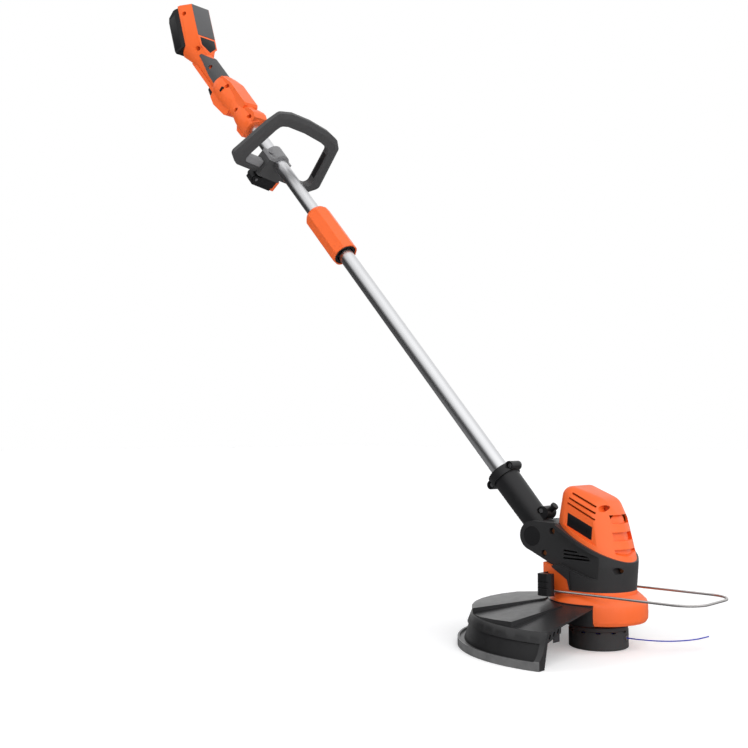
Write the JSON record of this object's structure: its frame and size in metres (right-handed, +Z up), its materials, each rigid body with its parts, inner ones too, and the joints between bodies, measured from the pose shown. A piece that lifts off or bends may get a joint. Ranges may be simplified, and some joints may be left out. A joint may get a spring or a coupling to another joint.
{
  "type": "cordless string trimmer",
  "caption": "Battery string trimmer and lawn edger: tilting motor head with line spool, guard and flip-up wire guide on a telescoping shaft with a bail handle and rear trigger grip.",
  "frame": {"origin": "on the spool axis, at the underside of the spool cap", "axes": "+X forward, away from the operator; +Y to the operator's left; +Z up along the spool axis; the shaft rises towards -X"},
  "size_m": [1.1002, 0.3603, 1.1131],
  "materials": {
    "tube_metal": "satin",
    "orange_plastic": "satin",
    "dark_plastic": "fine texture",
    "black_plastic": "fine texture",
    "soft_grip": "soft",
    "pale_plastic": "satin",
    "steel": "zinc plated",
    "laminations": "varnished",
    "cell_can": "sleeved",
    "circuit_board": "lacquered",
    "nylon_line": "smooth"
  },
  "bodies": {
    "handle": {"upper_tube": "tube_metal", "housing_left": "orange_plastic", "housing_right": "orange_plastic", "collar_pad": "dark_plastic", "top_panel": "dark_plastic", "grip_pad": "soft_grip", "housing_screws": "steel", "power_switch": "black_plastic", "control_board": "circuit_board", "terminal_block": "black_plastic", "trigger_pin": "steel"},
    "trigger": {"trigger": "black_plastic"},
    "lock_button": {"lock_button": "black_plastic"},
    "battery": {"battery_case": "black_plastic", "battery_rail": "black_plastic", "battery_cells": "cell_can"},
    "battery_latch": {"battery_latch": "black_plastic"},
    "bail": {"bail_handle": "dark_plastic", "bail_grip": "soft_grip", "clamp_cap": "pale_plastic", "clamp_block": "black_plastic", "clamp_bolts": "steel", "lever_pin": "steel"},
    "clamp_lever": {"clamp_lever": "black_plastic", "lever_tip": "orange_plastic"},
    "collet": {"collet": "black_plastic"},
    "lock_sleeve": {"lock_sleeve": "orange_plastic"},
    "lower_shaft": {"lower_tube": "tube_metal", "neck_left": "dark_plastic", "neck_right": "dark_plastic", "neck_screws": "steel"},
    "tilt_button": {"tilt_button": "black_plastic"},
    "head": {"tilt_pin": "steel", "pivot_caps": "black_plastic", "shell_left": "dark_plastic", "shell_right": "dark_plastic", "cap_left": "orange_plastic", "cap_right": "orange_plastic", "base": "orange_plastic", "guard": "black_plastic", "cutoff_blade": "steel", "head_screws": "steel", "guide_blocks": "black_plastic", "motor_can": "steel", "motor_bearings": "steel"},
    "wire_guide": {"wire_guide": "steel"},
    "rotor": {"armature": "laminations", "spindle": "steel", "spool_drum": "dark_plastic", "spool_cap": "dark_plastic", "line_bobbin": "pale_plastic", "wound_line": "nylon_line", "line_eyelet": "steel", "cutting_line": "nylon_line"}
  },
  "joints": [
    {"name": "trigger_pull", "type": "hinge", "parent": "handle", "child": "trigger", "pos_m": [-0.7779, 0, 0.90735], "axis": [0, 1, 0], "range_deg": [0, 7], "stiffness_Nm_per_rad": 1.5, "springref_deg": -6.88},
    {"name": "lock_press", "type": "slide", "parent": "handle", "child": "lock_button", "axis": [0, 1, 0], "range_m": [0, 0.004], "stiffness_N_per_m": 400, "springref_m": -0.004},
    {"name": "battery_slide", "type": "slide", "parent": "handle", "child": "battery", "axis": [-0.3074, 0, 0.9516], "range_m": [0, 0.095]},
    {"name": "latch_press", "type": "slide", "parent": "battery", "child": "battery_latch", "axis": [-0.9516, 0, -0.3074], "range_m": [0, 0.004], "stiffness_N_per_m": 500, "springref_m": -0.004},
    {"name": "bail_slide", "type": "slide", "parent": "handle", "child": "bail", "axis": [-0.6678, 0, 0.7443], "range_m": [-0.1, 0.05]},
    {"name": "lever_open", "type": "hinge", "parent": "bail", "child": "clamp_lever", "pos_m": [-0.67649, -0.02546, 0.74308], "axis": [-0.6678, 0, 0.7443], "range_deg": [0, 100]},
    {"name": "shaft_slide", "type": "slide", "parent": "handle", "child": "collet", "axis": [-0.6678, 0, 0.7443], "range_m": [0, 0.1]},
    {"name": "sleeve_twist", "type": "hinge", "parent": "collet", "child": "lock_sleeve", "pos_m": [-0.50741, 0, 0.61936], "axis": [-0.6678, 0, 0.7443], "range_deg": [0, 60]},
    {"name": "shaft_turn", "type": "hinge", "parent": "collet", "child": "lower_shaft", "pos_m": [-0.4807, 0, 0.58959], "axis": [-0.6678, 0, 0.7443], "range_deg": [0, 180]},
    {"name": "head_tilt", "type": "hinge", "parent": "lower_shaft", "child": "head", "pos_m": [-0.08, 0, 0.143], "axis": [0, 1, 0], "range_deg": [0, 60]},
    {"name": "tilt_button_press", "type": "slide", "parent": "lower_shaft", "child": "tilt_button", "axis": [-0.7443, 0, -0.6678], "range_m": [0, 0.004], "stiffness_N_per_m": 500, "springref_m": -0.004},
    {"name": "spool_spin", "type": "hinge", "parent": "head", "child": "rotor", "pos_m": [0, 0, 0], "axis": [0, 0, 1], "continuous": true},
    {"name": "guide_flip", "type": "hinge", "parent": "head", "child": "wire_guide", "pos_m": [-0.045, 0, 0.075], "axis": [0, -1, 0], "range_deg": [0, 95]}
  ]
}
